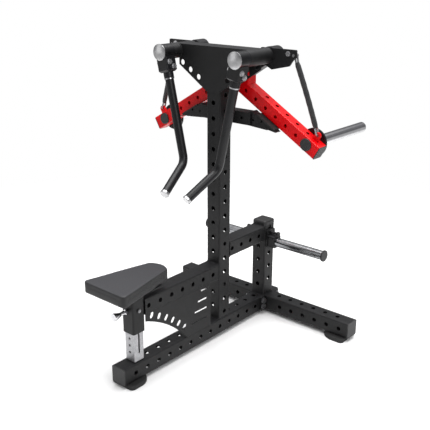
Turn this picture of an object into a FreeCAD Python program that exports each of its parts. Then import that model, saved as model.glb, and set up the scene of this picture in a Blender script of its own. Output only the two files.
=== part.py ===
import FreeCAD, Part
import math
import os

V = FreeCAD.Vector
os.makedirs("parts", exist_ok=True)

# A plate-loaded lever machine on a perforated tube frame.  Millimetres, +Z up, the seat end faces -Y.
# Places are measured from the main upright's axis (X, Y) and the underside of the base rail (Z);
# save() moves every part to the middle of the footprint and up onto the rubber feet.

# ---- driving dimensions ----
TUBE = 80.0            # side of the frame's square tube
HALF = TUBE / 2
WALL = 3.0
CORNER = 7.0           # outer corner radius of the tubes
PITCH = 72.0           # spacing of the frame's adjustment holes
HOLE = 22.0            # diameter of the frame's adjustment holes
FOOT = 20.0            # rubber feet: thickness, half width and length of the straight sides
FOOT_R = 70.0
FOOT_RUN = 60.0
FOOT_SET = 15.0        # how far the feet stand in from the tubes' ends
CAP = 5.0              # thickness of a tube end cap
PLATE = 6.0            # head plates
SHEET = 3.0            # seat gusset

RAIL_FRONT = -673.0    # base rail ends
RAIL_REAR = 453.0
BEAM_Y = 372.0         # middle of the rear cross beam
BEAM_END = 550.0       # half length of the rear cross beam
FLANGE = 8.0           # bolted flange plates of the two half beams
FLANGE_Y = 76.0        # half length of a flange plate
POST_Y = 364.0         # rear post
POST_TOP = 474.0
BRACE_Z = 432.0        # middle of the brace from upright to rear post

HEAD_TOP = 1409.0      # top of the head
HEAD_HALF = 202.0      # half width of the head plates
HEAD_SHOULDER = 1316.0 # where the slanted edges start
HEAD_FOOT = 1207.0     # where the slanted edges reach the upright

PIVOT_X = 218.0        # lever pivots, parallel to Y
PIVOT_Z = 1377.0
PIVOT_R = 35.0         # outside of the pivot tubes
SHAFT_R = 17.5
HUB_FRONT = -157.0     # rotating front hub
HUB_REAR = -93.0
HOUSING_FRONT = -92.0  # fixed pivot tube
HOUSING_REAR = 64.0
EAR = 10.0             # strap anchor plate behind each pivot tube
ANCHOR = (355, HOUSING_REAR, 1387)
EAR_BOLT = (328, 1393)
BEARING_R = 26.0
HANDLE_Y = -125.0
HANDLE_TILT = math.radians(12.9)
HANDLE_R = 20.0
SOCKET = 118.0         # pivot to the end of the handle socket
RING = 6.0
BEND = 508.0           # pivot to the handle's bend
GRIP = V(-36, -166, -104)

ARM_TILT = math.radians(30.5)
ARM_W = 64.0           # lever arm section: across its swing plane
ARM_D = 60.0           # and along the pivot
ARM_FRONT = 80.0
ARM_MID = ARM_FRONT + ARM_D / 2
ARM_PITCH = 65.0
ARM_HOLE = 18.0
SLEEVE_X = 427.0       # weight sleeve axis
SLEEVE_Z = 1011.0
SLEEVE_R = 24.0
SLEEVE_CORE = 20.0     # its stem through the arm, and the undercut at the collar
SLEEVE_END = 560.0
COLLAR = 10.0          # flange at the sleeve's inner end
COLLAR_R = 64.0
ARM_INNER = -430.0     # arm ends, along the arm from the sleeve axis
ARM_OUTER = 61.0
STUB_X = (45.0, 105.0) # upright stub at the arm's inner end
STUB_TOP = 1340.0
TAB_AT = 14.0          # strap tab, along the arm from the sleeve axis
STRAP_R = 12.8

SEAT_Y = -575.0        # seat post axis
SLEEVE_SIDE = 70.0     # seat sleeve
SLEEVE_Z0 = 222.0
SLEEVE_Z1 = 400.0
POST_SIDE = 58.0       # seat post
POST_FOOT = 84.0
SEAT_PLATE_Z = 422.0
PAD_Z = 428.0
PAD_T = 56.0
PAD_FRONT = -743.0
PAD_HALF = 135.0       # half width at the wide front edge
PAD_LENGTH = 351.0
PAD_NOSE = 86.0        # radius of the narrow end
PIN_Z = 330.0
SEAT_STEP = 34.0
SEAT_STEPS = 6

RAIL_Z = 337.0         # middle of the seat rail
ARC_Y = -733.0         # centre and radius of the gusset's cut-out
ARC_Z = -281.0
ARC_R = 580.0

PEG_Z = 386.0          # plate storage pegs on the rear post
PEG_R = 24.0
PEG_RIM = 29.0
PEG_END = 372.0

# middle of the footprint: from the seat pad's front edge to the weight sleeves' ends
SHIFT = V(0, -(PAD_FRONT + SLEEVE_END) / 2, FOOT)


# ---- helpers ----
def save(name, shape):
    placed = shape.copy()
    placed.translate(SHIFT)
    placed.exportStep("parts/%s.step" % name)


def box(x, y, z):
    """Box between the two ends given for each axis."""
    return Part.makeBox(x[1] - x[0], y[1] - y[0], z[1] - z[0], V(x[0], y[0], z[0]))


def cyl(at, direction, radius, length):
    return Part.makeCylinder(radius, length, V(*at), V(*direction))


def cone(at, direction, r0, r1, length):
    return Part.makeCone(r0, r1, length, V(*at), V(*direction))


def rounded(x, y, z, axis, radius):
    """Box whose four edges along one axis are rounded."""
    solid = box(x, y, z)
    edges = []
    for edge in solid.Edges:
        line = edge.Vertexes[1].Point - edge.Vertexes[0].Point
        if abs(line[axis]) > 0.99 * line.Length:
            edges.append(edge)
    return solid.makeFillet(radius, edges)


def square_tube(x, y, z, axis, wall=WALL, corner=CORNER):
    """Square tube along one axis, open at both ends."""
    outer = rounded(x, y, z, axis, corner)
    spans = [list(x), list(y), list(z)]
    for i in range(3):
        grow = 1.0 if i == axis else -wall
        spans[i] = [spans[i][0] - grow, spans[i][1] + grow]
    return outer.cut(rounded(spans[0], spans[1], spans[2], axis, corner - wall))


def drill(shape, centres, direction, diameter, length):
    """Round holes through both walls, centred on the given points."""
    way = V(*direction)
    tools = [cyl(V(*c) - way * (length / 2), way, diameter / 2, length) for c in centres]
    return shape.cut(Part.Compound(tools))


def prism(points, axis, start, thickness):
    """Flat plate: an outline in the plane across an axis, given a thickness along that axis."""
    corners = []
    for a, b in points:
        spot = [a, b]
        spot.insert(axis, start)
        corners.append(V(*spot))
    way = V(*[thickness if i == axis else 0 for i in range(3)])
    return Part.Face(Part.makePolygon(corners + corners[:1])).extrude(way)


def mirrored(shape):
    return shape.mirror(V(0, 0, 0), V(1, 0, 0))


def both_sides(shape):
    return Part.Compound([shape, mirrored(shape)])


def save_pair(name, shape):
    """A part of the right side and its mirror image on the left."""
    save(name + "_right", shape)
    save(name + "_left", mirrored(shape))


def tilted(shape, centre, angle):
    """Turn a shape in the swing plane, from level down toward the outside."""
    turned = shape.copy()
    turned.rotate(V(*centre), V(0, 1, 0), math.degrees(angle))
    return turned


def steps(first, pitch, count):
    return [first + pitch * i for i in range(count)]


def end_plug(x, y, z, axis, inward):
    """Flat end cap with a plug that fits inside the tube; inward is the side of the plug."""
    head = rounded(x, y, z, axis, CORNER)
    spans = [list(x), list(y), list(z)]
    for i in range(3):
        if i != axis:
            spans[i] = [spans[i][0] + WALL + 0.5, spans[i][1] - WALL - 0.5]
    edge = spans[axis][1] if inward > 0 else spans[axis][0]
    spans[axis] = sorted([edge, edge + inward * 12.0])
    return head.fuse(rounded(spans[0], spans[1], spans[2], axis, CORNER - WALL)).removeSplitter()


def hex_bolt(at, direction, head=9.0, shank=16.0, grip=8.0):
    """Hex bolt: the head stands on the surface at the given point, the shank goes the other way."""
    way = V(*direction)
    side = V(0, 0, 1).cross(way) if abs(way.z) < 0.9 else V(1, 0, 0)
    other = way.cross(side)
    radius = shank * 0.9
    ring = []
    for i in range(7):
        turn = math.pi / 3 * i
        ring.append(V(*at) + side * (radius * math.cos(turn)) + other * (radius * math.sin(turn)))
    hexagon = Part.Face(Part.makePolygon(ring)).extrude(way * head)
    washer = cyl(at, way, radius * 1.15, 2.0)
    body = cyl(V(*at) - way * grip, way, shank / 2, grip + 1)
    return hexagon.fuse([washer, body]).removeSplitter()


# ---- base ----
def base_rail():
    rail = square_tube((-HALF, HALF), (RAIL_FRONT, RAIL_REAR), (0, TUBE), 1)
    side = [(0, y, HALF) for y in steps(-608.7, PITCH, 15) if abs(y - BEAM_Y) > 55]
    rail = drill(rail, side, (1, 0, 0), HOLE, 100)
    stands = (0.0, POST_Y)
    top = [(0, y, HALF) for y in steps(-573.5, PITCH, 14) if min(abs(y - s) for s in stands) > 50]
    rail = drill(rail, top, (0, 0, 1), HOLE, 100)
    return drill(rail, flange_holes(), (1, 0, 0), 17, 100)


def flange_holes():
    return [(0, BEAM_Y + side * 58.0, z) for side in (-1, 1) for z in (24.0, 56.0)]


def cross_beam():
    start = HALF + FLANGE
    beam = square_tube((start, BEAM_END), (BEAM_Y - HALF, BEAM_Y + HALF), (0, TUBE), 0)
    beam = drill(beam, [(x, BEAM_Y, HALF) for x in steps(141.6, PITCH, 6)], (0, 1, 0), HOLE, 100)
    beam = drill(beam, [(x, BEAM_Y, HALF) for x in steps(109, PITCH, 6)], (0, 0, 1), HOLE, 100)
    flange = rounded((HALF, start), (BEAM_Y - FLANGE_Y, BEAM_Y + FLANGE_Y), (0, TUBE), 0, 6)
    flange = drill(flange, flange_holes(), (1, 0, 0), 17, 200)
    return Part.Compound([beam, flange])


def tube_end_caps():
    front = end_plug((-HALF, HALF), (RAIL_FRONT - CAP, RAIL_FRONT), (0, TUBE), 1, 1)
    rear = end_plug((-HALF, HALF), (RAIL_REAR, RAIL_REAR + CAP), (0, TUBE), 1, -1)
    side = end_plug((BEAM_END, BEAM_END + CAP), (BEAM_Y - HALF, BEAM_Y + HALF), (0, TUBE), 0, -1)
    return Part.Compound([front, rear, side, mirrored(side), rear_post_cap()])


def foot():
    """D-shaped rubber foot: a straight edge at Y=0 and a round end toward +Y, top face at Z=0."""
    start, end = V(-FOOT_R, 0, -FOOT), V(FOOT_R, 0, -FOOT)
    left, right = V(-FOOT_R, FOOT_RUN, -FOOT), V(FOOT_R, FOOT_RUN, -FOOT)
    round_end = Part.Arc(right, V(0, FOOT_RUN + FOOT_R, -FOOT), left).toShape()
    sides = [Part.makeLine(start, end), Part.makeLine(end, right), round_end, Part.makeLine(left, start)]
    pad = Part.Face(Part.Wire(sides)).extrude(V(0, 0, FOOT))
    corners = [e for e in pad.Edges if e.BoundBox.ZLength > FOOT - 1 and e.BoundBox.YMax < 1]
    pad = pad.makeFillet(20.0, corners)
    pad = pad.makeFillet(3.0, [e for e in pad.Edges if e.BoundBox.ZMax < -FOOT + 0.1])
    return pad.makeFillet(8.0, [e for e in pad.Edges if e.BoundBox.ZMin > -0.1])


def rubber_feet():
    front = foot()
    front.translate(V(0, RAIL_FRONT - CAP + FOOT_SET, 0))
    side = foot()
    side.rotate(V(0, 0, 0), V(0, 0, 1), 90)
    side.translate(V(BEAM_END + CAP - FOOT_SET, BEAM_Y, 0))
    return Part.Compound([front, side, mirrored(side)])


def main_upright():
    tube = square_tube((-HALF, HALF), (-HALF, HALF), (TUBE, HEAD_TOP - PLATE), 2)
    front = [(0, 0, z) for z in steps(151, PITCH, 15)]
    tube = drill(tube, front, (0, 1, 0), HOLE, 100)
    return drill(tube, [(0, 0, z) for z in steps(113, PITCH, 16)], (1, 0, 0), HOLE, 100)


def rear_post():
    post = square_tube((-HALF, HALF), (POST_Y - HALF, POST_Y + HALF), (TUBE, POST_TOP), 2)
    post = drill(post, [(0, POST_Y, z) for z in steps(138, PITCH, 4)], (0, 1, 0), HOLE, 100)
    return drill(post, [(0, POST_Y, z) for z in steps(172, PITCH, 5)], (1, 0, 0), HOLE, 100)


def rear_post_cap():
    side = HALF + 2
    cap = rounded((-side, side), (POST_Y - side, POST_Y + side), (POST_TOP, POST_TOP + 24), 2, 12)
    top = [e for e in cap.Edges if e.BoundBox.ZMin > POST_TOP + 23]
    plug = rounded((-35, 35), (POST_Y - 35, POST_Y + 35), (POST_TOP - 18, POST_TOP), 2, 4)
    return cap.makeFillet(11, top).fuse(plug).removeSplitter()


def brace_beam():
    beam = square_tube((-HALF, HALF), (HALF, POST_Y - HALF), (BRACE_Z - HALF, BRACE_Z + HALF), 1)
    return drill(beam, [(0, y, BRACE_Z) for y in steps(57, PITCH, 4)], (1, 0, 0), HOLE, 100)


# ---- seat support ----
def seat_rail():
    rail = square_tube((-HALF, HALF), (SEAT_Y + SLEEVE_SIDE / 2, -HALF), (RAIL_Z - HALF, RAIL_Z + HALF), 1)
    return drill(rail, [(0, y, RAIL_Z) for y in steps(-518, PITCH, 7)], (1, 0, 0), HOLE, 100)


def slot_tool(y, z, length, width, turn):
    """Slot with round ends through the gusset sheet; turn is its angle from level, in degrees."""
    x0 = HALF - SHEET - 2
    reach = (length - width) / 2
    tool = box((x0, HALF + 2), (-reach, reach), (-width / 2, width / 2))
    for side in (-reach, reach):
        tool = tool.fuse(cyl((x0, side, 0), (1, 0, 0), width / 2, SHEET + 4))
    tool.rotate(V(0, 0, 0), V(1, 0, 0), turn)
    tool.translate(V(0, y, z))
    return tool


def seat_gusset():
    """Side sheet let into the tube corners of both rails, with an arched front edge and vent slots."""
    front, rear, top = SEAT_Y + SLEEVE_SIDE / 2, -105.0, RAIL_Z - HALF
    sheet = box((HALF - SHEET, HALF), (front, rear), (TUBE - 4, top + 4))
    for low in (0, top):
        sheet = sheet.cut(rounded((-HALF, HALF), (front - 1, rear + 1), (low, low + TUBE), 1, CORNER))
    sheet = sheet.cut(cyl((0, ARC_Y, ARC_Z), (1, 0, 0), ARC_R, 100))
    tools = []
    for i in range(6):
        angle = math.radians(22.3 + 4.8 * i)
        reach = ARC_R + 29
        y, z = ARC_Y + reach * math.sin(angle), ARC_Z + reach * math.cos(angle)
        tools.append(slot_tool(y, z, 31, 18, 90 - math.degrees(angle)))
    for i in range(4):
        length = 42 + 23 * i
        tools.append(slot_tool(-132 - length / 2, 284 - 50 * i, length, 9, 0))
    return sheet.cut(Part.Compound(tools))


def seat_sleeve():
    reach = SLEEVE_SIDE / 2
    y = (SEAT_Y - reach, SEAT_Y + reach)
    sleeve = square_tube((-reach, reach), y, (SLEEVE_Z0, SLEEVE_Z1), 2, 4, 8)
    sleeve = drill(sleeve, [(0, SEAT_Y - reach, PIN_Z)], (0, 1, 0), 12, 20)
    return drill(sleeve, [(reach, SEAT_Y, PIN_Z)], (1, 0, 0), 9, 20)


def sleeve_liner():
    reach = SLEEVE_SIDE / 2 - 4
    wall = reach - POST_SIDE / 2 - 0.3
    y = (SEAT_Y - reach, SEAT_Y + reach)
    liner = square_tube((-reach, reach), y, (SLEEVE_Z0, SLEEVE_Z1), 2, wall, 4)
    liner = drill(liner, [(0, SEAT_Y - reach, PIN_Z)], (0, 1, 0), 12, 20)
    return drill(liner, [(reach, SEAT_Y, PIN_Z)], (1, 0, 0), 9, 20)


def seat_post():
    reach = POST_SIDE / 2
    y = (SEAT_Y - reach, SEAT_Y + reach)
    post = square_tube((-reach, reach), y, (POST_FOOT, SEAT_PLATE_Z), 2, WALL, 5)
    heights = steps(PIN_Z - SEAT_STEPS * SEAT_STEP, SEAT_STEP, SEAT_STEPS + 1)
    post = drill(post, [(0, SEAT_Y - reach, z) for z in heights], (0, 1, 0), 12, 20)
    low, high = heights[0] - 7, PIN_Z + 7
    slot = rounded((reach - 5, reach + 5), (SEAT_Y - 4.5, SEAT_Y + 4.5), (low, high), 0, 4.4)
    return post.cut(slot)


def seat_plate():
    plate = rounded((-80, 80), (SEAT_Y - 110, SEAT_Y + 110), (SEAT_PLATE_Z, PAD_Z), 2, 12)
    corners = [(x, SEAT_Y + y, PAD_Z) for x in (-60, 60) for y in (-88, 88)]
    return drill(plate, corners, (0, 0, 1), 9, 20)


def seat_pad():
    """Cushion with a straight wide front edge and a round narrow nose toward the upright."""
    nose_y = PAD_FRONT + PAD_LENGTH - PAD_NOSE
    run = nose_y - PAD_FRONT
    reach = math.hypot(PAD_HALF, run)
    tangent = math.atan2(run, PAD_HALF) + math.acos(PAD_NOSE / reach) - math.pi / 2
    side = V(PAD_NOSE * math.cos(tangent), nose_y + PAD_NOSE * math.sin(tangent), PAD_Z)
    other = V(-side.x, side.y, PAD_Z)
    left, right = V(-PAD_HALF, PAD_FRONT, PAD_Z), V(PAD_HALF, PAD_FRONT, PAD_Z)
    nose = Part.Arc(side, V(0, nose_y + PAD_NOSE, PAD_Z), other).toShape()
    sides = [Part.makeLine(left, right), Part.makeLine(right, side), nose, Part.makeLine(other, left)]
    pad = Part.Face(Part.Wire(sides)).extrude(V(0, 0, PAD_T))
    upright = [e for e in pad.Edges if e.BoundBox.ZLength > PAD_T - 1 and e.BoundBox.YMax < PAD_FRONT + 1]
    pad = pad.makeFillet(15, upright)
    rims = [e for e in pad.Edges if e.BoundBox.ZLength < 0.1]
    return pad.makeFillet(6, rims)


def guide_bolt():
    reach = SLEEVE_SIDE / 2
    tip = cyl((POST_SIDE / 2 - 2, SEAT_Y, PIN_Z), (1, 0, 0), 3.8, reach - POST_SIDE / 2 + 3)
    return tip.fuse(cyl((reach, SEAT_Y, PIN_Z), (1, 0, 0), 8, 6)).removeSplitter()


def pop_pin_body():
    face = SEAT_Y - SLEEVE_SIDE / 2
    barrel = cyl((0, face - 13, PIN_Z), (0, 1, 0), 12, 13)
    return barrel.cut(cyl((0, face - 21, PIN_Z), (0, 1, 0), 5.3, 22))


def pop_pin():
    """Plunger and flared pull knob, drawn just clear of the post's holes."""
    face = SEAT_Y - SLEEVE_SIDE / 2
    tip = SEAT_Y - POST_SIDE / 2 - 0.5
    back = face - 20.5
    rod = cyl((0, back - 1, PIN_Z), (0, 1, 0), 5, tip - back + 1)
    neck = cone((0, back, PIN_Z), (0, -1, 0), 10.5, 8.5, 22)
    flare = cone((0, back - 22, PIN_Z), (0, -1, 0), 8.5, 17.5, 30)
    rim = cyl((0, back - 52, PIN_Z), (0, -1, 0), 17.5, 9)
    return rod.fuse([neck, flare, rim]).removeSplitter()


# ---- head ----
def pivot_bore(radius):
    return cyl((PIVOT_X, -300, PIVOT_Z), (0, 1, 0), radius, 600)


def head_plate(y):
    outline = [(-HEAD_HALF, HEAD_TOP - PLATE), (-HEAD_HALF, HEAD_SHOULDER), (-HALF + 5, HEAD_FOOT)]
    outline += [(-x, z) for x, z in reversed(outline)]
    plate = prism(outline, 1, y, PLATE)
    holes = [(side * x, y, z) for side in (-1, 1) for x, z in ((85, 1268), (134, 1297), (182, 1326))]
    plate = drill(plate, holes, (0, 1, 0), 26, 60)
    return plate.cut(both_sides(pivot_bore(PIVOT_R)))


def head_top_plate():
    reach = HALF + PLATE
    plate = box((-HEAD_HALF, HEAD_HALF), (-reach, reach), (HEAD_TOP - PLATE, HEAD_TOP))
    return plate.cut(both_sides(pivot_bore(PIVOT_R)))


def pivot_housing():
    """Fixed pivot tube with the strap anchor plate welded to its rear end."""
    tube = cyl((PIVOT_X, HOUSING_FRONT, PIVOT_Z), (0, 1, 0), PIVOT_R, HOUSING_REAR - HOUSING_FRONT)
    outline = [(183, 1411), (369, 1411), (369, 1378), (357, 1372)]
    outline += [(334, 1340), (244, 1319), (205, 1338), (183, 1360)]
    ear = prism(outline, 1, HOUSING_REAR, EAR)
    upright = [e for e in ear.Edges if e.BoundBox.YLength > EAR - 1]
    ear = ear.makeFillet(5, upright)
    solid = tube.fuse(ear).cut(pivot_bore(BEARING_R))
    return drill(solid, [ANCHOR, (EAR_BOLT[0], HOUSING_REAR, EAR_BOLT[1])], (0, 1, 0), 12, 60)


def pivot_bearings():
    """Flanged bushes, one at each end of both pivot tubes."""
    rings = []
    for start in (HOUSING_FRONT + 1, HOUSING_REAR + EAR - 19):
        ring = cyl((PIVOT_X, start, PIVOT_Z), (0, 1, 0), BEARING_R, 18)
        rings.append(ring.cut(pivot_bore(SHAFT_R + 0.05)))
    return Part.Compound(rings + [mirrored(r) for r in rings])


def stop_beam():
    """Short beam behind the upright with a slanted rest at each end, parallel to the lever arms."""
    beam = square_tube((-150, 150), (HALF, HALF + 60), (1061, 1121), 0, 3, 5)
    beam = drill(beam, [(x, 70, 1091) for x in (-100, -50, 50, 100)], (0, 1, 0), 14, 80)
    wing = [(134, 1060), (134, 1121), (150, arm_under(150) - 9), (286, arm_under(286) - 9)]
    wing += [(246, 1055), (238, 1053)]
    rest = prism(wing, 1, HALF + 8, 40)
    holes = [(x, 70, 1088) for x in (160, 208)]
    rest = drill(rest, holes, (0, 1, 0), 11, 80)
    return beam.cut(both_sides(rest)).fuse(both_sides(rest)).removeSplitter()


def arm_under(x):
    """Height of the lever arm's lower face at rest."""
    centre = SLEEVE_Z + (SLEEVE_X - x) * math.tan(ARM_TILT)
    return centre - ARM_W / 2 / math.cos(ARM_TILT)


def stop_bumper():
    """Rubber strip on the rest, 0.6 mm under the lever arm."""
    pad = box((-46, 68), (HALF + 8, HALF + 48), (0, 6.5))
    middle = 220
    pad.translate(V(middle, 0, arm_under(middle) - 0.6 / math.cos(ARM_TILT) - 6.5))
    return tilted(pad, (middle, 0, arm_under(middle) - 0.6 / math.cos(ARM_TILT)), ARM_TILT)


# ---- levers (right side) ----
def down(reach, y=HANDLE_Y):
    """Point on the handle's line, measured from the pivot axis."""
    return V(PIVOT_X - reach * math.sin(HANDLE_TILT), y, PIVOT_Z - reach * math.cos(HANDLE_TILT))


HANG = down(1, 0) - down(0, 0)


def pivot_shaft():
    return cyl((PIVOT_X, HUB_FRONT + 2, PIVOT_Z), (0, 1, 0), SHAFT_R, ARM_FRONT + ARM_D + 8 - HUB_FRONT - 2)


def hub():
    """Rotating front hub: a sleeve on the shaft and a block that tapers into the handle socket."""
    ring = cyl((PIVOT_X, HUB_FRONT, PIVOT_Z), (0, 1, 0), PIVOT_R, HUB_REAR - HUB_FRONT)
    block = box((-31, 31), (-31, 31), (-92, -20))
    block = block.makeChamfer(9, [e for e in block.Edges if e.BoundBox.ZMax < -91])
    block = block.makeFillet(5, [e for e in block.Edges if e.BoundBox.ZLength > 40])
    neck = cyl((0, 0, -SOCKET), (0, 0, 1), 23, SOCKET - 90)
    body = block.fuse(neck)
    body.rotate(V(0, 0, 0), V(0, 1, 0), math.degrees(HANDLE_TILT))
    body.translate(V(PIVOT_X, HANDLE_Y, PIVOT_Z))
    socket = Part.makeCylinder(11.1, 60, down(SOCKET + 1), HANG * -1)
    return ring.fuse(body).cut(pivot_bore(SHAFT_R)).cut(socket).cut(hub_bolts())


def hub_cap():
    """Domed cap over the front end of the pivot."""
    rim = cyl((PIVOT_X, HUB_FRONT - 4, PIVOT_Z), (0, 1, 0), PIVOT_R + 2, 4)
    dome_r = 110.0
    drop = math.sqrt(dome_r ** 2 - (PIVOT_R + 2) ** 2)
    ball = Part.makeSphere(dome_r, V(PIVOT_X, HUB_FRONT - 4 + drop, PIVOT_Z))
    face = cyl((PIVOT_X, HUB_FRONT - 14, PIVOT_Z), (0, 1, 0), PIVOT_R + 2, 10)
    return rim.fuse(face.common(ball)).removeSplitter()


def hub_bolts():
    """Two bolt heads on each side of the hub block, set diagonally."""
    heads = []
    for side in (-1, 1):
        heads.append(hex_bolt((31 * side, -12, -48), (side, 0, 0), 8, 12, 10))
        heads.append(hex_bolt((31 * side, 12, -70), (side, 0, 0), 8, 12, 10))
    bolts = Part.Compound(heads)
    bolts.rotate(V(0, 0, 0), V(0, 1, 0), math.degrees(HANDLE_TILT))
    bolts.translate(V(PIVOT_X, HANDLE_Y, PIVOT_Z))
    return bolts


def handle_ring():
    ring = Part.makeCylinder(23, RING - 0.4, down(SOCKET + 0.2), HANG)
    return ring.cut(Part.makeCylinder(11.1, RING + 4, down(SOCKET - 2), HANG))


def handle_path():
    """Upper bar and grip joined by a tangent arc."""
    top, bend = down(SOCKET + RING), down(BEND)
    end = bend + GRIP
    along = GRIP / GRIP.Length
    turn = HANG.getAngle(along)
    radius = 62.0
    back = radius * math.tan(turn / 2)
    start, stop = bend - HANG * back, bend + along * back
    inward = (along - HANG) / (along - HANG).Length
    middle = bend + inward * (radius / math.cos(turn / 2) - radius)
    arc = Part.Arc(start, middle, stop).toShape()
    return Part.Wire([Part.makeLine(top, start), arc, Part.makeLine(stop, end)])


def handle_bar():
    path = handle_path()
    profile = Part.Wire(Part.makeCircle(HANDLE_R, down(SOCKET + RING), HANG))
    bar = path.makePipeShell([profile], True, False)
    stem = Part.makeCylinder(11, 58, down(SOCKET + RING - 56), HANG)
    return bar.fuse(stem).removeSplitter()


def handle_end():
    tip = down(BEND) + GRIP
    along = GRIP / GRIP.Length
    cap = Part.makeCylinder(HANDLE_R + 1.5, 12, tip, along)
    rim = [e for e in cap.Edges if (e.BoundBox.Center - tip).Length > 8]
    return cap.makeFillet(3, rim)


def along_arm(reach, rise=0.0, y=ARM_MID):
    """Point on the lever arm: reach outward from the sleeve axis, rise across the arm."""
    x = SLEEVE_X + reach * math.cos(ARM_TILT) + rise * math.sin(ARM_TILT)
    z = SLEEVE_Z - reach * math.sin(ARM_TILT) + rise * math.cos(ARM_TILT)
    return V(x, y, z)


def lever_arm():
    """Perforated arm with an upright stub at its inner end and the strap tab near its outer end."""
    far = (ARM_INNER, ARM_OUTER)
    y = (ARM_FRONT, ARM_FRONT + ARM_D)
    outer = rounded(far, y, (-ARM_W / 2, ARM_W / 2), 0, 6)
    inner = rounded((far[0] + 4, far[1] + 1), (y[0] + 4, y[1] - 4), (-ARM_W / 2 + 4, ARM_W / 2 - 4), 0, 3)
    stub = rounded(STUB_X, y, (1215, STUB_TOP), 2, 6)
    place = lambda s: tilted(s.translated(V(SLEEVE_X, 0, SLEEVE_Z)), (SLEEVE_X, 0, SLEEVE_Z), ARM_TILT)
    arm = place(outer).fuse(stub).cut(place(inner))
    front = [tuple(along_arm(-ARM_PITCH * i)) for i in range(1, 7)]
    arm = drill(arm, front, (0, 1, 0), ARM_HOLE, 90)
    across = along_arm(0, 1) - along_arm(0, 0)
    top = [tuple(along_arm(-ARM_PITCH * (i + 0.5))) for i in range(0, 5)]
    arm = drill(arm, top, tuple(across), ARM_HOLE, 90)
    arm = drill(arm, [(SLEEVE_X, ARM_MID, SLEEVE_Z)], (0, 1, 0), 2 * SLEEVE_CORE, 90)
    return arm.fuse(strap_tab()).removeSplitter()


def strap_tab():
    """Eye plate on top of the arm."""
    plate = box((TAB_AT - 15, TAB_AT + 15), (ARM_MID - 5, ARM_MID + 5), (ARM_W / 2 - 1, ARM_W / 2 + 24))
    plate = plate.fuse(cyl((TAB_AT, ARM_MID - 5, ARM_W / 2 + 24), (0, 1, 0), 15, 10))
    plate = plate.cut(cyl((TAB_AT, ARM_MID - 6, ARM_W / 2 + 24), (0, 1, 0), 6.5, 12))
    return tilted(plate.translated(V(SLEEVE_X, 0, SLEEVE_Z)), (SLEEVE_X, 0, SLEEVE_Z), ARM_TILT)


def lever_link():
    """Crank from the pivot boss to the arm's stub."""
    boss = cyl((PIVOT_X, ARM_FRONT - 2, PIVOT_Z), (0, 1, 0), 38, ARM_D + 4)
    foot_point = V(STUB_X[1], 0, 1304)
    run = V(PIVOT_X, 0, PIVOT_Z) - foot_point
    slope = math.atan2(run.z, run.x)
    bar = rounded((-60, run.Length), (ARM_FRONT + 5, ARM_FRONT + ARM_D - 5), (-25, 25), 0, 6)
    bar = tilted(bar.translated(foot_point), tuple(foot_point), -slope)
    bar = bar.cut(box((-50, STUB_X[1]), (0, 300), (1100, 1500)))
    return boss.fuse(bar).cut(pivot_bore(SHAFT_R)).removeSplitter()


def arm_caps():
    """Plastic cap on the arm's open end and round plug over the sleeve's front end."""
    y = (ARM_FRONT, ARM_FRONT + ARM_D)
    cap = rounded((ARM_OUTER, ARM_OUTER + 4), y, (-ARM_W / 2, ARM_W / 2), 0, 6)
    rise = ARM_W / 2 - 4.5
    plug = rounded((ARM_OUTER - 14, ARM_OUTER), (y[0] + 4.5, y[1] - 4.5), (-rise, rise), 0, 2.5)
    end = cap.fuse(plug).translated(V(SLEEVE_X, 0, SLEEVE_Z))
    end = tilted(end, (SLEEVE_X, 0, SLEEVE_Z), ARM_TILT)
    disc = cyl((SLEEVE_X, ARM_FRONT - 6, SLEEVE_Z), (0, 1, 0), 28, 6)
    rim = [e for e in disc.Edges if e.BoundBox.YMax < ARM_FRONT - 5]
    return Part.Compound([end, disc.makeFillet(2.5, rim)])


def sleeve_collar():
    """Flange that the weight plates rest against."""
    start = ARM_FRONT + ARM_D
    ring = cyl((SLEEVE_X, start, SLEEVE_Z), (0, 1, 0), COLLAR_R, COLLAR)
    return ring.cut(cyl((SLEEVE_X, start - 1, SLEEVE_Z), (0, 1, 0), SLEEVE_CORE, COLLAR + 2))


def weight_sleeve():
    start = ARM_FRONT + ARM_D + COLLAR + 2
    tube = cyl((SLEEVE_X, start, SLEEVE_Z), (0, 1, 0), SLEEVE_R, SLEEVE_END - start)
    rim = [e for e in tube.Edges if e.BoundBox.YMin > SLEEVE_END - 1]
    stem = cyl((SLEEVE_X, ARM_FRONT, SLEEVE_Z), (0, 1, 0), SLEEVE_CORE, start - ARM_FRONT)
    return tube.makeChamfer(3, rim).fuse(stem)


# ---- straps ----
def strap_line():
    top = V(ANCHOR[0] + 8, HOUSING_REAR + EAR + 9, ANCHOR[2] - 30)
    tab = along_arm(TAB_AT, ARM_W / 2 + 24)
    lead = (top - tab) / (top - tab).Length
    return top, tab + lead * 34, lead


def limit_strap():
    top, low, lead = strap_line()
    sleeve = Part.makeCylinder(STRAP_R, (top - low).Length, low, lead)
    return sleeve.cut(strap_hangers()).cut(tab_link())


def link(low, high, wide, turn=0.0):
    """Oblong chain link of 6 mm wire between two points of one swing plane, turned about its length."""
    half = (high - low).Length / 2
    body = rounded((-wide, wide), (-3, 3), (-half, half), 1, wide - 0.5)
    body = body.cut(rounded((-wide + 6, wide - 6), (-4, 4), (-half + 6, half - 6), 1, wide - 6.1))
    body.rotate(V(0, 0, 0), V(0, 0, 1), turn)
    body.rotate(V(0, 0, 0), V(0, 1, 0), math.degrees(math.atan2(high.x - low.x, high.z - low.z)))
    body.translate((low + high) / 2)
    return body


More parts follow.
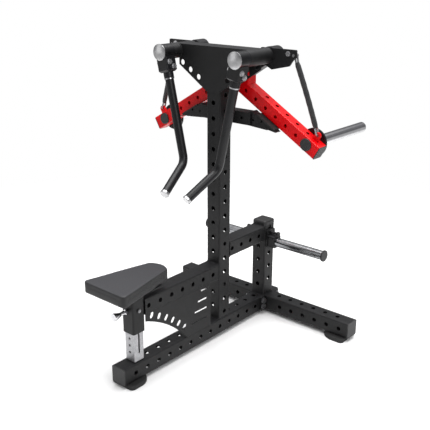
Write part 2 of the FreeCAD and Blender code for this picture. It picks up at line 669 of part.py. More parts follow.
def strap_hangers():
    """Anchor bolt with the link that carries the strap, and a hex screw in the ear, on both sides."""
    top = strap_line()[0]
    bolt = cyl((ANCHOR[0], HOUSING_REAR, ANCHOR[2]), (0, 1, 0), 5.8, EAR + 14)
    screw = hex_bolt((EAR_BOLT[0], HOUSING_REAR, EAR_BOLT[1]), (0, -1, 0), 7, 11, EAR)
    nut = cyl((ANCHOR[0], HOUSING_REAR + EAR + 13, ANCHOR[2]), (0, 1, 0), 9, 6)
    eye = V(ANCHOR[0], HOUSING_REAR + EAR + 9, ANCHOR[2] + 9)
    way = (eye - top) / (eye - top).Length
    hanger = bolt.fuse([nut, link(top - way * 4, eye, 9)]).removeSplitter()
    return both_sides(Part.Compound([hanger, screw]))


def tab_link():
    """Link through the eye of the strap tab, turned across it."""
    lead = strap_line()[2]
    eye = along_arm(TAB_AT, ARM_W / 2 + 24)
    way = V(lead.x, 0, lead.z)
    return link(eye - way * 3, eye + way * 39, 12, 90)


# ---- storage pegs (right side) ----
def storage_peg():
    return cyl((HALF + 50, POST_Y, PEG_Z), (1, 0, 0), PEG_R, PEG_END - HALF - 50)


def peg_flange():
    ring = cyl((PEG_END, POST_Y, PEG_Z), (1, 0, 0), PEG_RIM, 8)
    rim = [e for e in ring.Edges if e.BoundBox.XMin > PEG_END + 7]
    return both_sides(ring.makeFillet(2.5, rim))


def peg_bracket():
    """Block bolted to the post's side: back plate, boss for the peg, cheeks."""
    plate = rounded((HALF, HALF + 10), (POST_Y - 34, POST_Y + 34), (PEG_Z - 34, PEG_Z + 62), 0, 8)
    boss = rounded((HALF + 10, HALF + 50), (POST_Y - 29, POST_Y + 29), (PEG_Z - 29, PEG_Z + 33), 0, 8)
    return both_sides(plate.fuse(boss).removeSplitter())


def peg_knob():
    """Ball-ended clamp knob above each peg."""
    x = HALF + 10
    z = PEG_Z + 47
    stem = cyl((x, POST_Y, z), (1, 0, 0), 6, 42)
    ball = Part.makeSphere(11, V(x + 46, POST_Y, z))
    return both_sides(stem.fuse(ball).removeSplitter())


def frame_bolts():
    """Hex bolts and nuts through the half-beam flanges and the base rail, and the seat's guide bolt."""
    face = HALF + FLANGE
    bolts = [guide_bolt()]
    for x, y, z in flange_holes():
        bolts.append(hex_bolt((face, y, z), (1, 0, 0), 10, 16, face))
        bolts.append(hex_bolt((-face, y, z), (-1, 0, 0), 12, 16, face))
    return Part.Compound(bolts)


def main():
    """Write every sub-part to its own file."""
    save("base_rail", base_rail())
    save_pair("cross_beam", cross_beam())
    save("tube_end_caps", tube_end_caps())
    save("rubber_feet", rubber_feet())
    save("frame_bolts", frame_bolts())
    save("main_upright", main_upright())
    save("rear_post", rear_post())
    save("brace_beam", brace_beam())

    save("seat_rail", seat_rail())
    save("seat_gusset", seat_gusset())
    save("seat_sleeve", seat_sleeve())
    save("sleeve_liner", sleeve_liner())
    save("pop_pin_body", pop_pin_body())
    save("pop_pin", pop_pin())
    save("seat_post", seat_post())
    save("seat_plate", seat_plate())
    save("seat_pad", seat_pad())

    save("head_front_plate", head_plate(-HALF - PLATE))
    save("head_rear_plate", head_plate(HALF))
    save("head_top_plate", head_top_plate())
    save_pair("pivot_housing", pivot_housing())
    save("pivot_bearings", pivot_bearings())
    save("stop_beam", stop_beam())
    save("stop_bumpers", both_sides(stop_bumper()))
    save("strap_hangers", strap_hangers())
    save_pair("limit_strap", limit_strap())

    save_pair("storage_peg", storage_peg())
    save("peg_flanges", peg_flange())
    save("peg_brackets", peg_bracket())
    save("peg_knobs", peg_knob())

    save_pair("pivot_shaft", pivot_shaft())
    save_pair("handle_hub", hub())
    save_pair("hub_cap", hub_cap())
    save_pair("hub_bolts", hub_bolts())
    save_pair("handle_ring", handle_ring())
    save_pair("handle_bar", handle_bar())
    save_pair("handle_end", handle_end())
    save_pair("lever_link", lever_link())
    save_pair("lever_arm", lever_arm())
    save_pair("arm_caps", arm_caps())
    save_pair("sleeve_collar", sleeve_collar())
    save_pair("weight_sleeve", weight_sleeve())
    save_pair("tab_link", tab_link())


main()
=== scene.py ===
import bpy
import math
import numpy as np
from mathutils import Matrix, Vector


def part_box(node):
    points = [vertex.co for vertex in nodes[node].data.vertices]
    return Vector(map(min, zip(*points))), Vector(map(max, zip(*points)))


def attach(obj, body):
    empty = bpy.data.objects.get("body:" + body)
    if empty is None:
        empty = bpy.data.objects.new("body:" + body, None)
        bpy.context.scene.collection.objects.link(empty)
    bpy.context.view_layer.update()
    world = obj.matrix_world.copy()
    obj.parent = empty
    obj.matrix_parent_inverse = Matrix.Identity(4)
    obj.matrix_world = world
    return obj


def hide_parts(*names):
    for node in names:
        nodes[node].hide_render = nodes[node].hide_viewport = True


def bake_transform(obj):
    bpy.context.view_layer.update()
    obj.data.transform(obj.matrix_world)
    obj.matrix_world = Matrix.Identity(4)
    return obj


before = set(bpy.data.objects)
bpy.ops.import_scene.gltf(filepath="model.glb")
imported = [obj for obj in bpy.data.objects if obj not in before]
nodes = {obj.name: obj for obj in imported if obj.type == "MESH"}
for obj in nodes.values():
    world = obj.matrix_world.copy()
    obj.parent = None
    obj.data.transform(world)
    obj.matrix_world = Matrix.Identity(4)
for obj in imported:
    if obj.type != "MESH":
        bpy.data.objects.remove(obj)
scene = bpy.context.scene

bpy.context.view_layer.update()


# ---------------------------------------------------------------- camera, light and floor
# A seamless pale floor under a wide soft overhead light, with a key from the front right and a weak
# fill from the left, so that upward faces read a step lighter than the front faces of the tubes.
def look(obj, place, at):
    """Stands obj at a place and turns its -Z axis to a point."""
    obj.location = place
    obj.rotation_euler = (Vector(at) - Vector(place)).to_track_quat("-Z", "Y").to_euler()
    scene.collection.objects.link(obj)


lens = bpy.data.cameras.new("view")
lens.sensor_width = 36.0
lens.lens = 60.8
lens.shift_x = 0.010
camera = bpy.data.objects.new("view", lens)
look(camera, (2.132, -2.4225, 1.787), (-0.040, 0.0795, 0.625))
scene.camera = camera
scene.view_settings.view_transform = "Standard"


def soft_light(name, place, at, width, height, watts):
    """Rectangular area light aimed at a point."""
    data = bpy.data.lights.new(name, "AREA")
    data.shape = "RECTANGLE"
    data.size, data.size_y, data.energy = width, height, watts
    look(bpy.data.objects.new(name, data), place, at)


soft_light("overhead", (0.2, 0.3, 4.6), (0.0, 0.0, 0.6), 3.6, 3.6, 215.0)
soft_light("key", (3.4, -1.2, 2.6), (0.0, 0.0, 0.8), 2.0, 2.4, 40.0)
soft_light("fill", (-2.8, -3.2, 2.0), (0.0, 0.0, 0.8), 2.4, 2.4, 15.0)


def linear(code):
    """sRGB hex colour to linear RGBA."""
    parts = [int(code[i:i + 2], 16) / 255 for i in (1, 3, 5)]
    return [c / 12.92 if c <= 0.04045 else ((c + 0.055) / 1.055) ** 2.4 for c in parts] + [1.0]


def add(tree, kind, sockets=(), **settings):
    """One shader node: its settings by name, and its inputs as values or as links from sockets."""
    node = tree.nodes.new("ShaderNode" + kind)
    for name, value in settings.items():
        setattr(node, name, value)
    for name, value in dict(sockets).items():
        if isinstance(value, bpy.types.NodeSocket):
            tree.links.new(value, node.inputs[name])
        else:
            node.inputs[name].default_value = value
    return node


def finish(name):
    """Empty material with its output and shader: (material, tree, principled shader)."""
    made = bpy.data.materials.new(name)
    made.use_nodes = True
    tree = made.node_tree
    tree.nodes.clear()
    shader = add(tree, "BsdfPrincipled")
    tree.links.new(shader.outputs[0], add(tree, "OutputMaterial").inputs[0])
    return made, tree, shader


def ramp(tree, factor, stops):
    """Colour ramp over a factor: stops are (place, sRGB hex)."""
    node = add(tree, "ValToRGB", {"Fac": factor})
    while len(node.color_ramp.elements) < len(stops):
        node.color_ramp.elements.new(0.5)
    for element, (place, code) in zip(node.color_ramp.elements, stops):
        element.position, element.color = place, linear(code)
    return node.outputs[0]


# The room round the object is bright overhead and near the floor and dim between, which gives polished
# metal its darker bands; behind the object it is plain white.
world = bpy.data.worlds.new("studio")
world.use_nodes = True
room = world.node_tree
room.nodes.clear()
height = add(room, "SeparateXYZ", {"Vector": add(room, "TexCoord").outputs["Generated"]}).outputs["Z"]
rise = add(room, "MapRange", {"Value": height, "From Min": -1.0, "From Max": 1.0}).outputs[0]
walls = ramp(room, rise, [(0.45, "#bcbcbc"), (0.56, "#6e6e70"), (0.74, "#808082"), (0.86, "#ffffff")])
seen = add(room, "LightPath").outputs["Is Camera Ray"]
plain = add(room, "Mix", {0: seen, 6: walls, 7: linear("#ffffff")}, data_type="RGBA").outputs[2]
glow = add(room, "Background", {"Color": plain, "Strength": 1.0})
room.links.new(glow.outputs[0], add(room, "OutputWorld").inputs[0])
scene.world = world

paper, tree, shader = finish("floor_paper")
shader.inputs["Roughness"].default_value = 0.9
place = add(tree, "TexCoord").outputs["Object"]
cloud = add(tree, "TexNoise", {"Vector": place, "Scale": 0.6, "Detail": 2.0}).outputs[0]
tree.links.new(ramp(tree, cloud, [(0.3, "#fbfbfb"), (0.7, "#fefefe")]), shader.inputs["Base Color"])
# The paper thins out into the white room beyond two metres, so that no horizon shows.
far = add(tree, "VectorMath", {0: place}, operation="LENGTH").outputs["Value"]
paper_full, paper_gone = 1.7, 3.2
thin = add(tree, "MapRange", {"Value": far, "From Min": paper_full, "From Max": paper_gone},
           interpolation_type="SMOOTHSTEP")
clear = add(tree, "BsdfTransparent")
ends = next(n for n in tree.nodes if n.type == "OUTPUT_MATERIAL")
sheet = add(tree, "MixShader", {0: thin.outputs[0], 1: shader.outputs[0], 2: clear.outputs[0]})
tree.links.new(sheet.outputs[0], ends.inputs[0])
floor_mesh = bpy.data.meshes.new("floor")
floor_mesh.from_pydata([(-4, -4, 0), (4, -4, 0), (4, 4, 0), (-4, 4, 0)], [], [(0, 1, 2, 3)])
floor_mesh.materials.append(paper)
floor = bpy.data.objects.new("floor", floor_mesh)
scene.collection.objects.link(floor)


# ---------------------------------------------------------------- black powder coat on the frame
# Sheet and tube of mild steel, sprayed with polyester powder and baked.  The cured film has a fine
# orange peel of 2 to 3 mm, a satin gloss, and lighter upward faces: partly dust, partly painted top light.
def powder_coat(name, deep, body, dust_and_top_light, roughness, grain_mm, relief):
    """Baked powder film: slow tone drift, orange-peel bump, upward faces lighter from dust and painted top
    light.
    """
    made, tree, shader = finish(name)
    place = add(tree, "TexCoord").outputs["Object"]
    drift = add(tree, "TexNoise", {"Vector": place, "Scale": 9.0, "Detail": 3.0}).outputs[0]
    tone = ramp(tree, drift, [(0.35, deep), (0.65, body)])
    # Upward faces are painted lighter in speckled patches: partly dust, partly painted light from above.
    up = add(tree, "SeparateXYZ", {"Vector": add(tree, "NewGeometry").outputs["Normal"]}).outputs["Z"]
    speck = add(tree, "TexNoise", {"Vector": place, "Scale": 55.0, "Detail": 4.0}).outputs[0]
    share = add(tree, "Math", {0: up, 1: speck}, operation="MULTIPLY", use_clamp=True).outputs[0]
    level = add(tree, "MapRange", {"Value": share, "From Min": 0.1, "From Max": 0.75, "To Max": 0.8})
    dust_and_top_light_tone = add(tree, "Mix", {0: level.outputs[0], 6: tone, 7: linear(dust_and_top_light)}, data_type="RGBA")
    tree.links.new(dust_and_top_light_tone.outputs[2], shader.inputs["Base Color"])
    peel = add(tree, "TexNoise", {"Vector": place, "Scale": 1000.0 / grain_mm, "Detail": 3.0}).outputs[0]
    gloss = add(tree, "MapRange", {"Value": peel, "To Min": roughness - 0.06, "To Max": roughness + 0.08})
    tree.links.new(gloss.outputs[0], shader.inputs["Roughness"])
    bump = add(tree, "Bump", {"Height": peel, "Strength": 0.5, "Distance": relief})
    tree.links.new(bump.outputs[0], shader.inputs["Normal"])
    shader.inputs["Specular IOR Level"].default_value = 0.32
    return made


def paint(material, *names):
    """Gives CAD nodes their finish."""
    for name in names:
        nodes[name].data.materials.clear()
        nodes[name].data.materials.append(material)


def sides(*names):
    """The right and left names of mirrored parts."""
    return [name + end for name in names for end in ("_right", "_left")]


black_coat = powder_coat("black_powder_coat", "#0e0e0f", "#141415", "#29292b", 0.50, 2.4, 0.0004)
paint(black_coat, "base_rail", "main_upright", "rear_post", "brace_beam", "seat_rail", "seat_gusset",
      "seat_sleeve", "head_front_plate", "head_rear_plate", "head_top_plate", "stop_beam",
      "peg_brackets", "seat_plate", *sides("cross_beam", "pivot_housing"))


# ---------------------------------------------------------------- welds
# Fillet welds where tube meets tube and where the pivot tubes meet the head: a rippled bead about
# 5 mm wide, laid in short overlapping puddles and coated together with the frame.
def bead_mesh(path, radius=0.0026, ripple=0.0042, closed=True):
    """Tube of small radius carried along a polyline; its radius swells once for every puddle."""
    path = np.asarray(path, float)
    ends = np.roll(path, -1, 0) if closed else path[1:]
    starts = path if closed else path[:-1]
    lengths = np.linalg.norm(ends - starts, axis=1)
    total, travel = lengths.sum(), np.concatenate([[0], np.cumsum(lengths)])
    count = max(int(total / 0.0014), 8)
    spots = np.linspace(0, total, count, endpoint=not closed)
    loop = np.vstack([path, path[:1]]) if closed else path
    centre = np.stack([np.interp(spots, travel, loop[:, i]) for i in range(3)], 1)
    ahead = np.roll(centre, -1, 0) - np.roll(centre, 1, 0)
    if not closed:
        ahead[0], ahead[-1] = centre[1] - centre[0], centre[-1] - centre[-2]
    ahead /= np.linalg.norm(ahead, axis=1)[:, None]
    flat = np.cross(path[1] - path[0], path[2] - path[0] if len(path) > 2 else (0.3, 0.5, 0.8))
    flat = flat / np.linalg.norm(flat)
    across = np.cross(ahead, flat)
    turn = np.linspace(0, 2 * np.pi, 8, endpoint=False)
    swell = radius * (1 + 0.16 * np.sin(2 * np.pi * spots / ripple))
    ring = (across[:, None] * np.cos(turn)[None, :, None] + flat[None, None] * np.sin(turn)[None, :, None])
    points = (centre[:, None] + ring * swell[:, None, None]).reshape(-1, 3)
    rows = count if closed else count - 1
    i, j = np.meshgrid(np.arange(rows), np.arange(8), indexing="ij")
    i2, j2 = (i + 1) % count, (j + 1) % 8
    quads = np.stack([i * 8 + j, i * 8 + j2, i2 * 8 + j2, i2 * 8 + j], -1).reshape(-1, 4).tolist()
    if not closed:
        quads += [list(range(8)), [(count - 1) * 8 + k for k in reversed(range(8))]]
    return points, quads


def surface(name, parts, material, body, smooth=True):
    """One mesh object made of (points, faces) parts, riding on a body."""
    points, faces, start = [], [], 0
    for spots, quads in parts:
        points.append(np.asarray(spots, float))
        faces += [[k + start for k in face] for face in quads]
        start += len(spots)
    mesh = bpy.data.meshes.new(name)
    mesh.from_pydata(np.vstack(points).tolist(), [], faces)
    mesh.validate()
    mesh.polygons.foreach_set("use_smooth", [smooth] * len(mesh.polygons))
    mesh.materials.append(material)
    made = bpy.data.objects.new(name, mesh)
    scene.collection.objects.link(made)
    if body:
        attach(made, body)
    return made


def seam_round(low, high, axis, level, corner=0.007):
    """Rounded rectangle around a tube's end: the box's other two axes, at one level of the axis."""
    a, b = [k for k in range(3) if k != axis]
    turn = np.linspace(0, np.pi / 2, 5)
    points = []
    for k, (x, y) in enumerate(((high[a], high[b]), (low[a], high[b]), (low[a], low[b]), (high[a], low[b]))):
        sx, sy = (1, -1, -1, 1)[k], (1, 1, -1, -1)[k]
        for t in turn + k * np.pi / 2:
            spot = [0.0, 0.0, 0.0]
            spot[axis] = level
            spot[a] = x - sx * corner + corner * math.cos(t)
            spot[b] = y - sy * corner + corner * math.sin(t)
            points.append(spot)
    return points


rail_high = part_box("base_rail")[1]
up_low, up_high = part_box("main_upright")
post_low, post_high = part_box("rear_post")
seat_low, seat_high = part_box("seat_rail")
brace_low, brace_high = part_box("brace_beam")
welds = [
    seam_round(up_low, up_high, 2, rail_high.z + 0.0008),
    seam_round(post_low, post_high, 2, rail_high.z + 0.0008),
    seam_round(seat_low, seat_high, 1, up_low.y - 0.0008),
    seam_round(brace_low, brace_high, 1, up_high.y + 0.0008),
    seam_round(brace_low, brace_high, 1, post_low.y - 0.0008),
]
surface("frame_welds", [bead_mesh(w) for w in welds], black_coat, "frame")

plate_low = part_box("head_front_plate")[0]
back_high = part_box("head_rear_plate")[1]
pivot_x, pivot_z, tube_r = 0.218, 1.397, 0.035
arc = np.linspace(math.radians(120), math.radians(240), 24)
pivot_welds = []
for side in (1, -1):
    for level in (plate_low.y - 0.0006, back_high.y + 0.0006):
        pivot_welds.append([(side * (pivot_x + tube_r * math.cos(t)), level, pivot_z + tube_r * math.sin(t))
                            for t in arc])
pivot_beads = surface("pivot_welds", [bead_mesh(w, closed=False) for w in pivot_welds], black_coat, "frame")


# ---------------------------------------------------------------- red lever arms
# Square steel arms, welded stub and strap tab in one, with a smooth bright red polyester coat.
# It is glossier than the black, with only a very slight orange peel.
red_coat = powder_coat("red_gloss_coat", "#cc0008", "#de020c", "#e20810", 0.32, 3.0, 0.0003)
red_shader = next(n for n in red_coat.node_tree.nodes if n.type == "BSDF_PRINCIPLED")
red_shader.inputs["Specular IOR Level"].default_value = 0.2
red_shader.inputs["Coat Weight"].default_value = 0.12
red_shader.inputs["Coat Roughness"].default_value = 0.12
paint(red_coat, *sides("lever_arm"))


# ---------------------------------------------------------------- handles, hubs and cranks
# Bent steel tube with a smoother satin black coat than the frame, clamped in a forged hub block.
handle_coat = powder_coat("handle_satin_coat", "#121213", "#17171a", "#242426", 0.32, 2.0, 0.0003)
paint(handle_coat, *sides("handle_bar", "handle_hub", "lever_link", "sleeve_collar"))


# ---------------------------------------------------------------- chrome: weight sleeves, pegs, pins
# Turned steel bar with hard chrome plate.  It mirrors the room, with very fine turning rings and a
# few dull rub marks where plates slide on.
def chrome_plate(name, light, shade, roughness, ring_mm, axis):
    """Polished plate: turning rings across the bar's axis and dull rubbed patches."""
    made, tree, shader = finish(name)
    place = add(tree, "TexCoord").outputs["Object"]
    rub = add(tree, "TexNoise", {"Vector": place, "Scale": 38.0, "Detail": 5.0}).outputs[0]
    tone = ramp(tree, rub, [(0.35, shade), (0.7, light)])
    tree.links.new(tone, shader.inputs["Base Color"])
    dull = add(tree, "MapRange", {"Value": rub, "From Min": 0.5, "From Max": 0.8, "To Min": roughness,
                                  "To Max": roughness + 0.04})
    tree.links.new(dull.outputs[0], shader.inputs["Roughness"])
    stretch = [0.05, 0.05, 0.05]
    stretch[axis] = 1.0
    lined = add(tree, "Mapping", {"Vector": place, "Scale": stretch})
    rings = add(tree, "TexNoise", {"Vector": lined.outputs[0], "Scale": 1000.0 / ring_mm, "Detail": 2.0})
    bump = add(tree, "Bump", {"Height": rings.outputs[0], "Strength": 0.25, "Distance": 0.0001})
    tree.links.new(bump.outputs[0], shader.inputs["Normal"])
    shader.inputs["Metallic"].default_value = 1.0
    return made


sleeve_chrome = chrome_plate("hard_chrome_sleeve", "#dcdcde", "#cfcfd2", 0.12, 2.0, 1)
peg_chrome = chrome_plate("dark_chrome_peg", "#a4a5a7", "#8e8f92", 0.20, 2.0, 0)
pin_chrome = chrome_plate("chrome_pin", "#dededf", "#bdbdc0", 0.16, 1.5, 1)
paint(sleeve_chrome, *sides("weight_sleeve"))
paint(peg_chrome, *sides("storage_peg"))
paint(pin_chrome, "pop_pin", "pop_pin_body", *sides("handle_ring"))

satin = chrome_plate("satin_aluminium", "#d2d2d2", "#bcbcbe", 0.30, 1.5, 1)
paint(satin, *sides("hub_cap", "handle_end"))


# ---------------------------------------------------------------- zinc plated hardware and seat post
# Bright zinc on steel: a grey metal with a faint mottle of crystals about 4 mm across.
def zinc_plate(name, light, shade, roughness):
    """Galvanic zinc: mottled tone and roughness, drawn marks along the part."""
    made, tree, shader = finish(name)
    place = add(tree, "TexCoord").outputs["Object"]
    cells = add(tree, "TexVoronoi", {"Vector": place, "Scale": 250.0}).outputs["Distance"]
    cloud = add(tree, "TexNoise", {"Vector": place, "Scale": 60.0, "Detail": 4.0}).outputs[0]
    both = add(tree, "Math", {0: cells, 1: cloud}, operation="MULTIPLY").outputs[0]
    tree.links.new(ramp(tree, both, [(0.08, shade), (0.4, light)]), shader.inputs["Base Color"])
    gloss = add(tree, "MapRange", {"Value": cloud, "To Min": roughness - 0.08, "To Max": roughness + 0.1})
    tree.links.new(gloss.outputs[0], shader.inputs["Roughness"])
    drawn = add(tree, "Mapping", {"Vector": place, "Scale": (1.0, 1.0, 0.03)})
    marks = add(tree, "TexNoise", {"Vector": drawn.outputs[0], "Scale": 700.0, "Detail": 2.0}).outputs[0]
    bump = add(tree, "Bump", {"Height": marks, "Strength": 0.3, "Distance": 0.0001})
    tree.links.new(bump.outputs[0], shader.inputs["Normal"])
    shader.inputs["Metallic"].default_value = 0.85
    return made


post_zinc = zinc_plate("zinc_plated_tube", "#b4b4b6", "#98989b", 0.42)
bolt_zinc = zinc_plate("zinc_plated_bolt", "#c6c6c8", "#a6a6a8", 0.32)
paint(post_zinc, "seat_post")
paint(bolt_zinc, "strap_hangers", "pivot_bearings", *sides("hub_bolts", "pivot_shaft", "tab_link"))


# ---------------------------------------------------------------- frame fasteners
# Hex bolts with a dull zinc passivation, darker than the hardware on the levers.
dull_zinc = zinc_plate("dull_zinc_bolt", "#8e8e90", "#707073", 0.36)
paint(dull_zinc, "frame_bolts")


# ---------------------------------------------------------------- plastic, nylon and rubber
# Caps and plugs are injection moulded polyethylene with a spark-eroded texture of about 1 mm; the
# feet and bumpers are moulded rubber, duller, with a slow bloom on the surface.
def moulded(name, deep, light, roughness, grain_mm, relief):
    """Moulded surface: pitted texture in bump and roughness, slow cloud in tone."""
    made, tree, shader = finish(name)
    place = add(tree, "TexCoord").outputs["Object"]
    cloud = add(tree, "TexNoise", {"Vector": place, "Scale": 24.0, "Detail": 3.0}).outputs[0]
    tree.links.new(ramp(tree, cloud, [(0.3, deep), (0.7, light)]), shader.inputs["Base Color"])
    pits = add(tree, "TexVoronoi", {"Vector": place, "Scale": 1000.0 / grain_mm}).outputs["Distance"]
    gloss = add(tree, "MapRange", {"Value": pits, "To Min": roughness - 0.05, "To Max": roughness + 0.1})
    tree.links.new(gloss.outputs[0], shader.inputs["Roughness"])
    bump = add(tree, "Bump", {"Height": pits, "Strength": 0.35, "Distance": relief})
    tree.links.new(bump.outputs[0], shader.inputs["Normal"])
    return made


cap_plastic = moulded("moulded_cap_plastic", "#1e1e1f", "#262627", 0.50, 1.2, 0.0003)
foot_rubber = moulded("moulded_rubber", "#161616", "#1e1e1e", 0.68, 2.0, 0.0004)
liner_nylon = moulded("liner_nylon", "#1c1c1d", "#232324", 0.42, 1.5, 0.0002)
paint(cap_plastic, "tube_end_caps", "peg_flanges", "peg_knobs", *sides("arm_caps"))
paint(foot_rubber, "rubber_feet", "stop_bumpers")
paint(liner_nylon, "sleeve_liner")


# ---------------------------------------------------------------- limit straps
# Each strap is a doubled length of webbing inside a braided polyester sleeve about 25 mm across,
# drawn in slightly at both ends, where its steel links come out.  It runs nearly straight, with a slight
# bow, from the frame to the lever.
def strap_tube(top, low, radius, turns=28, rows=120):
    """Sleeve along a nearly straight line: slightly flattened section, gathered ends, soft dents."""
    top, low = np.array(top), np.array(low)
    run = low - top
    way = run / np.linalg.norm(run)
    side = np.cross(way, (0.0, 1.0, 0.0))
    side /= np.linalg.norm(side)
    front = np.cross(side, way)
    s = np.linspace(0, 1, rows)
    a = np.linspace(0, 2 * np.pi, turns, endpoint=False)
    edge = np.minimum(s, 1 - s)
    gather = np.clip(edge / 0.06, 0, 1)
    gather = 0.82 + 0.18 * gather * gather * (3 - 2 * gather)
    dent = 1 + 0.035 * np.sin(2 * np.pi * s * 7.0) * np.sin(np.pi * s)
    wide = radius * gather * dent
    bow = 0.0025 * np.sin(np.pi * s)
    centre = top + run * s[:, None] + side * bow[:, None]
    ring = side * np.cos(a)[:, None] + front * (0.82 * np.sin(a))[:, None]
    points = centre[:, None] + ring[None] * wide[:, None, None]
    i, j = np.meshgrid(np.arange(rows - 1), np.arange(turns), indexing="ij")
    j2 = (j + 1) % turns
    quads = np.stack([i * turns + j, i * turns + j2, (i + 1) * turns + j2, (i + 1) * turns + j], -1)
    faces = quads.reshape(-1, 4).tolist()
    faces += [list(reversed(range(turns))), [(rows - 1) * turns + k for k in range(turns)]]
    corners = [(j, i), (j + 1, i), (j + 1, i + 1), (j, i + 1)]
    loops = np.stack([np.stack([a / turns, b / rows], -1) for a, b in corners], 2)
    return points.reshape(-1, 3), faces, loops.reshape(-1, 2)


sleeve_weave, tree, shader = finish("braided_sleeve")
laid = add(tree, "UVMap", uv_map="weave").outputs[0]
braid = add(tree, "Mapping", {"Vector": laid, "Scale": (30.0, 165.0, 1.0)}).outputs[0]
over = add(tree, "TexWave", {"Vector": braid, "Scale": 0.32, "Distortion": 0.4},
           wave_type="BANDS", bands_direction="DIAGONAL").outputs[0]
under_map = add(tree, "Mapping", {"Vector": laid, "Scale": (-30.0, 165.0, 1.0)}).outputs[0]
under = add(tree, "TexWave", {"Vector": under_map, "Scale": 0.32, "Distortion": 0.4},
            wave_type="BANDS", bands_direction="DIAGONAL").outputs[0]
weave = add(tree, "Math", {0: over, 1: under}, operation="MULTIPLY").outputs[0]
tree.links.new(ramp(tree, weave, [(0.1, "#161617"), (0.8, "#343436")]), shader.inputs["Base Color"])
bump = add(tree, "Bump", {"Height": weave, "Strength": 0.6, "Distance": 0.0006})
tree.links.new(bump.outputs[0], shader.inputs["Normal"])
shader.inputs["Roughness"].default_value = 0.72
shader.inputs["Sheen Weight"].default_value = 0.25

sleeve_radius = 0.0125
for end, side in (("_right", 1), ("_left", -1)):
    top = (side * 0.3630, 0.1745, 1.3770)
    low = (side * 0.4565, 0.1987, 1.1042)
    points, faces, uv = strap_tube(top, low, sleeve_radius)
    if side < 0:
        faces = [list(reversed(f)) for f in faces]
    strap = surface("strap_sleeve" + end, [(points, faces)], sleeve_weave, None)
    layer = strap.data.uv_layers.new(name="weave")
    flat = np.zeros((len(strap.data.loops), 2))
    flat[:len(uv)] = uv
    layer.data.foreach_set("uv", flat.ravel())
    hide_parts("limit_strap" + end)
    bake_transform(strap)


# ---------------------------------------------------------------- seat cushion
# Foam on a board, wrapped tight in smooth black vinyl and stapled underneath.  The foam crowns the top
# a little, the sides stay straight, the front corners are rounded off and the narrow nose is round.
def pad_outline(count, front, half, length, nose, corner):
    """Outline from above as points: straight wide front, slanted sides, round nose."""
    nose_y = front + length - nose
    run = nose_y - front
    lean = math.atan2(run, half) + math.acos(nose / math.hypot(half, run)) - math.pi / 2
    right = np.array([(nose * math.cos(t), nose_y + nose * math.sin(t))
                      for t in np.linspace(lean, math.pi / 2, 24)])
    start, edge = np.array([half, front]), right[0]
    way = (edge - start) / np.linalg.norm(edge - start)
    back = corner * math.tan((math.pi - math.acos(way @ np.array([-1.0, 0.0]))) / 2)
    a, b = start + np.array([-back, 0]), start + way * back
    t = np.linspace(0, 1, 10)[:, None]
    bend = (1 - t) ** 2 * a + 2 * t * (1 - t) * start + t ** 2 * b
    half_line = np.vstack([[(0.0, front)], bend, right])
    line = np.vstack([half_line, half_line[::-1][1:-1] * [-1, 1]])
    loop = np.vstack([line, line[:1]])
    step = np.concatenate([[0], np.cumsum(np.linalg.norm(np.diff(loop, axis=0), axis=1))])
    spots = np.linspace(0, step[-1], count, endpoint=False)
    return np.stack([np.interp(spots, step, loop[:, k]) for k in range(2)], 1)


pad_low, pad_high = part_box("seat_pad")
inset, nose_radius, corner_radius = 0.0012, 0.086, 0.020
give, crown = 0.0010, 0.002
rim = pad_outline(220, pad_low.y + inset, pad_high.x - inset, pad_high.y - pad_low.y - 2 * inset,
                  nose_radius - inset, corner_radius)
heart = np.array([0.0, (pad_low.y + pad_high.y) / 2 + 0.02])
base_z, top_z = pad_low.z + 0.0005, pad_high.z - 0.0022
depth = top_z - base_z
profile = [(0.02, base_z), (0.5, base_z), (0.985, base_z), (0.996, base_z + 0.0008),
           (1.0, base_z + 0.003), (1.0, base_z + 0.5 * depth), (1.0, top_z - 0.004),
           (0.995, top_z - 0.001), (0.98, top_z),
           (0.6, top_z), (0.02, top_z)]
rings = [np.column_stack([heart + (rim - heart) * reach, np.full(len(rim), z)]) for reach, z in profile]
points = np.vstack(rings + [[[*heart, base_z]], [[*heart, top_z]]])
around = len(rim)
i, j = np.meshgrid(np.arange(len(profile) - 1), np.arange(around), indexing="ij")
quads = np.stack([i * around + j, i * around + (j + 1) % around, (i + 1) * around + (j + 1) % around,
                  (i + 1) * around + j], -1).reshape(-1, 4).tolist()
last, centre = (len(profile) - 1) * around, len(profile) * around
quads += [[(k + 1) % around, k, centre] for k in range(around)]
quads += [[last + k, last + (k + 1) % around, centre + 1] for k in range(around)]

vinyl, tree, shader = finish("black_vinyl")
place = add(tree, "TexCoord").outputs["Object"]
tone = add(tree, "TexNoise", {"Vector": place, "Scale": 14.0, "Detail": 3.0}).outputs[0]
dark = ramp(tree, tone, [(0.3, "#161617"), (0.7, "#1c1c1d")])
# Faces that look up are painted lighter: partly dust, partly a painted sheen of the overhead light.
facing = add(tree, "SeparateXYZ", {"Vector": add(tree, "NewGeometry").outputs["Normal"]}).outputs["Z"]
dust_and_painted_sheen = add(tree, "MapRange", {"Value": facing, "From Min": 0.2, "From Max": 0.9}).outputs[0]
vinyl_tone_with_painted_top = add(tree, "Mix", {0: dust_and_painted_sheen, 6: dark, 7: linear("#39393c")}, data_type="RGBA").outputs[2]
tree.links.new(vinyl_tone_with_painted_top, shader.inputs["Base Color"])
warped = add(tree, "TexNoise", {"Vector": place, "Scale": 260.0, "Detail": 2.0}).outputs["Color"]
bent = add(tree, "Mix", {0: 0.004, 6: place, 7: warped}, data_type="RGBA").outputs[2]
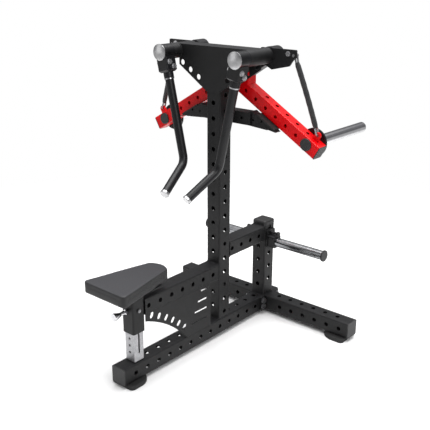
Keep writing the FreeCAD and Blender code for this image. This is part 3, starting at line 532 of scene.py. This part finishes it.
# Leather-grain cells are 1 mm on the real vinyl, drawn 2 mm here so that they show.
grain = add(tree, "TexVoronoi", {"Vector": bent, "Scale": 480.0}, feature="DISTANCE_TO_EDGE").outputs[0]
crease = add(tree, "MapRange", {"Value": grain, "From Max": 0.16}).outputs[0]
gloss = add(tree, "MapRange", {"Value": crease, "To Min": 0.58, "To Max": 0.44}).outputs[0]
tree.links.new(gloss, shader.inputs["Roughness"])
bump = add(tree, "Bump", {"Height": crease, "Strength": 0.4, "Distance": 0.0003})
tree.links.new(bump.outputs[0], shader.inputs["Normal"])
shader.inputs["Specular IOR Level"].default_value = 0.4

cushion = surface("seat_cushion", [(points, quads)], vinyl, None)
bpy.context.view_layer.objects.active = cushion
cushion.select_set(True)
remesh = cushion.modifiers.new("even", "REMESH")
remesh.mode, remesh.voxel_size, remesh.use_smooth_shade = "VOXEL", 0.004, True
bpy.ops.object.modifier_apply(modifier="even")


def coordinates(mesh, kind="co"):
    """All vertex places, or normals, of a mesh as an array."""
    co = np.empty(len(mesh.vertices) * 3, np.float32)
    mesh.vertices.foreach_get(kind, co)
    return co.reshape(-1, 3).astype(float)


before = coordinates(cushion.data)
outward = coordinates(cushion.data, "normal")
pins = cushion.vertex_groups.new(name="board")
pins.add([int(k) for k in np.where(before[:, 2] < base_z + 0.006)[0]], 1.0, "REPLACE")
wrap = cushion.modifiers.new("wrap", "CLOTH")
wrap.settings.quality = 5
wrap.settings.mass = 0.3
wrap.settings.tension_stiffness = wrap.settings.compression_stiffness = 12.0
wrap.settings.bending_stiffness = 1.2
wrap.settings.use_pressure = True
wrap.settings.uniform_pressure_force = 4.0
wrap.settings.vertex_group_mass = "board"
wrap.settings.effector_weights.gravity = 0.0
for step in range(1, 21):
    scene.frame_set(step)
bpy.ops.object.modifier_apply(modifier="wrap")
scene.frame_set(1)
move = coordinates(cushion.data) - before
# The foam only pushes the wrap outward, and no farther than the stitched vinyl gives.
swell = np.clip(np.sum(move * outward, axis=1), 0, give)[:, None]
settled = before + outward * swell
# The crown: foam stands highest in the middle of the top.
reach = np.clip(np.linalg.norm((settled[:, :2] - heart) / (0.13, 0.17), axis=1), 0, 1)
lift = np.clip((settled[:, 2] - base_z) / depth, 0, 1)
settled[:, 2] += crown * lift * (1 - reach ** 2)
settled[:, 0] = np.clip(settled[:, 0], pad_low.x - 0.003, pad_high.x + 0.003)
settled[:, 2] = np.maximum(settled[:, 2], base_z)
cushion.data.vertices.foreach_set("co", settled.astype(np.float32).ravel())
cushion.data.update()
soften = cushion.modifiers.new("soften", "SMOOTH")
soften.factor, soften.iterations = 0.5, 2
bpy.ops.object.modifier_apply(modifier="soften")
smooth = cushion.modifiers.new("finer", "SUBSURF")
smooth.levels = smooth.render_levels = 1
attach(cushion, "seat")
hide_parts("seat_pad")
